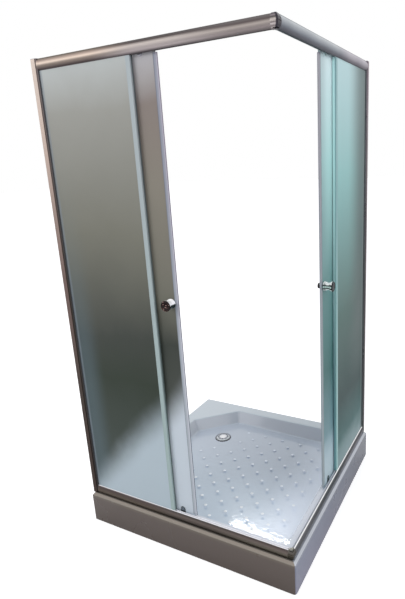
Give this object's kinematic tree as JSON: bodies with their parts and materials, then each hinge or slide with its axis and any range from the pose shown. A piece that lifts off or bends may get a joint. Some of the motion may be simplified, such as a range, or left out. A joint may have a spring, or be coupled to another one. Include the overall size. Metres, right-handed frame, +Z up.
{
  "type": "shower enclosure",
  "caption": "Square corner-entry shower enclosure on a low tray, with frosted fixed panes and hung doors that slide behind them on rollers in bowed rails.",
  "frame": {"origin": "middle of the tray footprint on the floor", "axes": "+Z up; the entry corner is at +X, -Y and the room corner at -X, +Y; the front side lies along -Y and the right side along +X"},
  "size_m": [1.008, 1.008, 1.973],
  "materials": {
    "tray_acrylic": "gloss white acrylic",
    "apron_panel": "gloss white",
    "base_board": "bare particle board",
    "spring_steel": "plain",
    "support_tube": "galvanised",
    "plated_steel": "zinc plated",
    "foot_plastic": "moulded",
    "trap_plastic": "moulded",
    "rubber_seal": "matt",
    "glazing_rubber": "matt",
    "waste_chrome": "polished",
    "joint_chrome": "polished",
    "cap_plastic": "gloss",
    "polished_aluminium": "bright polished",
    "frosted_glass": "satin with a blue-green tint",
    "door_frosted_glass": "satin with a grey tint",
    "clear_seal": "translucent",
    "magnet_strip": "translucent over a dark magnet",
    "knob_chrome": "polished",
    "cap_chrome": "polished",
    "roller_body": "gloss",
    "release_plastic": "gloss",
    "wheel_plastic": "moulded nylon"
  },
  "bodies": {
    "enclosure": {"apron_clips": "spring_steel", "bottom_corner_joint": "joint_chrome", "channel_caps": "cap_plastic", "foot_nuts": "plated_steel", "foot_pads": "foot_plastic", "foot_studs": "plated_steel", "frame_screws": "plated_steel", "front_bottom_rail": "polished_aluminium", "front_fixed_glass": "frosted_glass", "front_fixed_seal": "clear_seal", "front_glazing_gaskets": "glazing_rubber", "front_side_profile": "polished_aluminium", "front_top_rail": "polished_aluminium", "front_wall_channel": "polished_aluminium", "rail_bump_stops": "rubber_seal", "right_bottom_rail": "polished_aluminium", "right_fixed_glass": "frosted_glass", "right_fixed_seal": "clear_seal", "right_glazing_gaskets": "glazing_rubber", "right_side_profile": "polished_aluminium", "right_top_rail": "polished_aluminium", "right_wall_channel": "polished_aluminium", "top_corner_joint": "joint_chrome", "tray_apron": "apron_panel", "tray_base_board": "base_board", "tray_shell": "tray_acrylic", "tray_support_bars": "support_tube", "waste_flange": "waste_chrome", "waste_gasket": "rubber_seal", "waste_trap": "trap_plastic"},
    "front_door": {"front_door_glass": "door_frosted_glass", "front_magnet_seal": "magnet_strip", "front_rear_seal": "clear_seal", "front_outer_knob": "knob_chrome", "front_inner_knob": "knob_chrome", "front_top_hangers": "roller_body", "front_bottom_housings": "roller_body", "front_roller_caps": "cap_chrome"},
    "right_door": {"right_door_glass": "door_frosted_glass", "right_magnet_seal": "magnet_strip", "right_rear_seal": "clear_seal", "right_outer_knob": "knob_chrome", "right_inner_knob": "knob_chrome", "right_top_hangers": "roller_body", "right_bottom_housings": "roller_body", "right_roller_caps": "cap_chrome"},
    "waste_cover_body": {"waste_cover": "waste_chrome"},
    "front_release_lead_body": {"front_release_lead": "release_plastic"},
    "front_release_trail_body": {"front_release_trail": "release_plastic"},
    "front_top_wheel_lead_body": {"front_top_wheel_lead": "wheel_plastic"},
    "front_top_wheel_trail_body": {"front_top_wheel_trail": "wheel_plastic"},
    "front_bottom_wheel_lead_body": {"front_bottom_wheel_lead": "wheel_plastic"},
    "front_bottom_wheel_trail_body": {"front_bottom_wheel_trail": "wheel_plastic"},
    "right_release_lead_body": {"right_release_lead": "release_plastic"},
    "right_release_trail_body": {"right_release_trail": "release_plastic"},
    "right_top_wheel_lead_body": {"right_top_wheel_lead": "wheel_plastic"},
    "right_top_wheel_trail_body": {"right_top_wheel_trail": "wheel_plastic"},
    "right_bottom_wheel_lead_body": {"right_bottom_wheel_lead": "wheel_plastic"},
    "right_bottom_wheel_trail_body": {"right_bottom_wheel_trail": "wheel_plastic"}
  },
  "joints": [
    {"name": "front_door_slide", "type": "slide", "parent": "enclosure", "child": "front_door", "axis": [1, 0, 0], "range_m": [0, 0.40935]},
    {"name": "right_door_slide", "type": "slide", "parent": "enclosure", "child": "right_door", "axis": [0, -1, 0], "range_m": [-0.043, 0.36635]},
    {"name": "front_release_lead_press", "type": "slide", "parent": "front_door", "child": "front_release_lead_body", "axis": [0, 0, -1], "range_m": [0, 0.0032], "stiffness_N_per_m": 800, "springref_m": -0.01},
    {"name": "front_top_wheel_lead_spin", "type": "hinge", "parent": "front_door", "child": "front_top_wheel_lead_body", "pos_m": [-0.015, -0.452, 1.9548], "axis": [0, 1, 0], "continuous": true},
    {"name": "front_bottom_wheel_lead_spin", "type": "hinge", "parent": "front_release_lead_body", "child": "front_bottom_wheel_lead_body", "pos_m": [-0.015, -0.452, 0.1582], "axis": [0, 1, 0], "continuous": true},
    {"name": "front_release_trail_press", "type": "slide", "parent": "front_door", "child": "front_release_trail_body", "axis": [0, 0, -1], "range_m": [0, 0.0032], "stiffness_N_per_m": 800, "springref_m": -0.01},
    {"name": "front_top_wheel_trail_spin", "type": "hinge", "parent": "front_door", "child": "front_top_wheel_trail_body", "pos_m": [-0.39, -0.452, 1.9548], "axis": [0, 1, 0], "continuous": true},
    {"name": "front_bottom_wheel_trail_spin", "type": "hinge", "parent": "front_release_trail_body", "child": "front_bottom_wheel_trail_body", "pos_m": [-0.39, -0.452, 0.1582], "axis": [0, 1, 0], "continuous": true},
    {"name": "right_release_lead_press", "type": "slide", "parent": "right_door", "child": "right_release_lead_body", "axis": [0, 0, -1], "range_m": [0, 0.0032], "stiffness_N_per_m": 800, "springref_m": -0.01},
    {"name": "right_top_wheel_lead_spin", "type": "hinge", "parent": "right_door", "child": "right_top_wheel_lead_body", "pos_m": [0.452, -0.028, 1.9548], "axis": [1, 0, 0], "continuous": true},
    {"name": "right_bottom_wheel_lead_spin", "type": "hinge", "parent": "right_release_lead_body", "child": "right_bottom_wheel_lead_body", "pos_m": [0.452, -0.028, 0.1582], "axis": [1, 0, 0], "continuous": true},
    {"name": "right_release_trail_press", "type": "slide", "parent": "right_door", "child": "right_release_trail_body", "axis": [0, 0, -1], "range_m": [0, 0.0032], "stiffness_N_per_m": 800, "springref_m": -0.01},
    {"name": "right_top_wheel_trail_spin", "type": "hinge", "parent": "right_door", "child": "right_top_wheel_trail_body", "pos_m": [0.452, 0.347, 1.9548], "axis": [1, 0, 0], "continuous": true},
    {"name": "right_bottom_wheel_trail_spin", "type": "hinge", "parent": "right_release_trail_body", "child": "right_bottom_wheel_trail_body", "pos_m": [0.452, 0.347, 0.1582], "axis": [1, 0, 0], "continuous": true},
    {"name": "waste_cover_lift", "type": "slide", "parent": "enclosure", "child": "waste_cover_body", "axis": [0, 0, 1], "range_m": [0, 0.06]}
  ],
  "couplings": [
    {"joint": "front_top_wheel_lead_spin", "follows": "front_door_slide", "rad_per_m": 142.86},
    {"joint": "front_bottom_wheel_lead_spin", "follows": "front_door_slide", "rad_per_m": -142.86},
    {"joint": "front_top_wheel_trail_spin", "follows": "front_door_slide", "rad_per_m": 142.86},
    {"joint": "front_bottom_wheel_trail_spin", "follows": "front_door_slide", "rad_per_m": -142.86},
    {"joint": "right_top_wheel_lead_spin", "follows": "right_door_slide", "rad_per_m": 142.86},
    {"joint": "right_bottom_wheel_lead_spin", "follows": "right_door_slide", "rad_per_m": -142.86},
    {"joint": "right_top_wheel_trail_spin", "follows": "right_door_slide", "rad_per_m": 142.86},
    {"joint": "right_bottom_wheel_trail_spin", "follows": "right_door_slide", "rad_per_m": -142.86}
  ]
}
